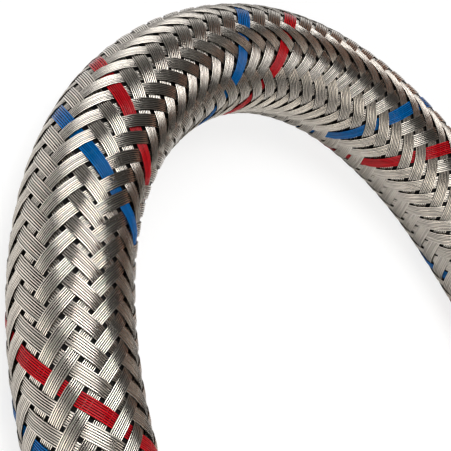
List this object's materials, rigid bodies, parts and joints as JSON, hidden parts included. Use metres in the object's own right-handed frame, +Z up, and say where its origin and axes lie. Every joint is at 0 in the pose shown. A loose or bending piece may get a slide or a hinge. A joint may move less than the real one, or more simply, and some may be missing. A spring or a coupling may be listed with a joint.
{
  "type": "flexible hose connector",
  "caption": "Flexible water connector: rubber hose in a woven stainless braid with a red and a blue plait, bent in an arch, with crimped ferrules and swivel union nuts.",
  "frame": {"origin": "on the floor, midway between the two end fittings, which lie side by side", "axes": "+Z up from the floor, +Y from the fittings towards the arch of the hose, +X from the inlet fitting to the outlet fitting; both nuts open towards -Y"},
  "size_m": [0.1138, 0.1327, 0.024],
  "materials": {
    "stainless_braid": "bare drawn stainless wire, bright, with one red and one blue plait of glossy filament",
    "epdm_rubber": "matt black",
    "stainless_sleeve": "drawn stainless tube, satin, crimped",
    "nickel_plate": "turned brass, nickel-plated, bright"
  },
  "bodies": {
    "hose": {"inner_tube": "epdm_rubber", "braid": "stainless_braid", "inlet_nipple": "nickel_plate", "inlet_ferrule": "stainless_sleeve", "inlet_washer": "epdm_rubber", "outlet_nipple": "nickel_plate", "outlet_ferrule": "stainless_sleeve", "outlet_washer": "epdm_rubber"},
    "inlet_nut": {"inlet_nut": "nickel_plate"},
    "outlet_nut": {"outlet_nut": "nickel_plate"}
  },
  "joints": [
    {"name": "inlet_nut_spin", "type": "hinge", "parent": "hose", "child": "inlet_nut", "pos_m": [-0.043, -0.0106, 0.012], "axis": [0, -1, 0], "continuous": true},
    {"name": "outlet_nut_spin", "type": "hinge", "parent": "hose", "child": "outlet_nut", "pos_m": [0.043, -0.0106, 0.012], "axis": [0, -1, 0], "continuous": true}
  ]
}
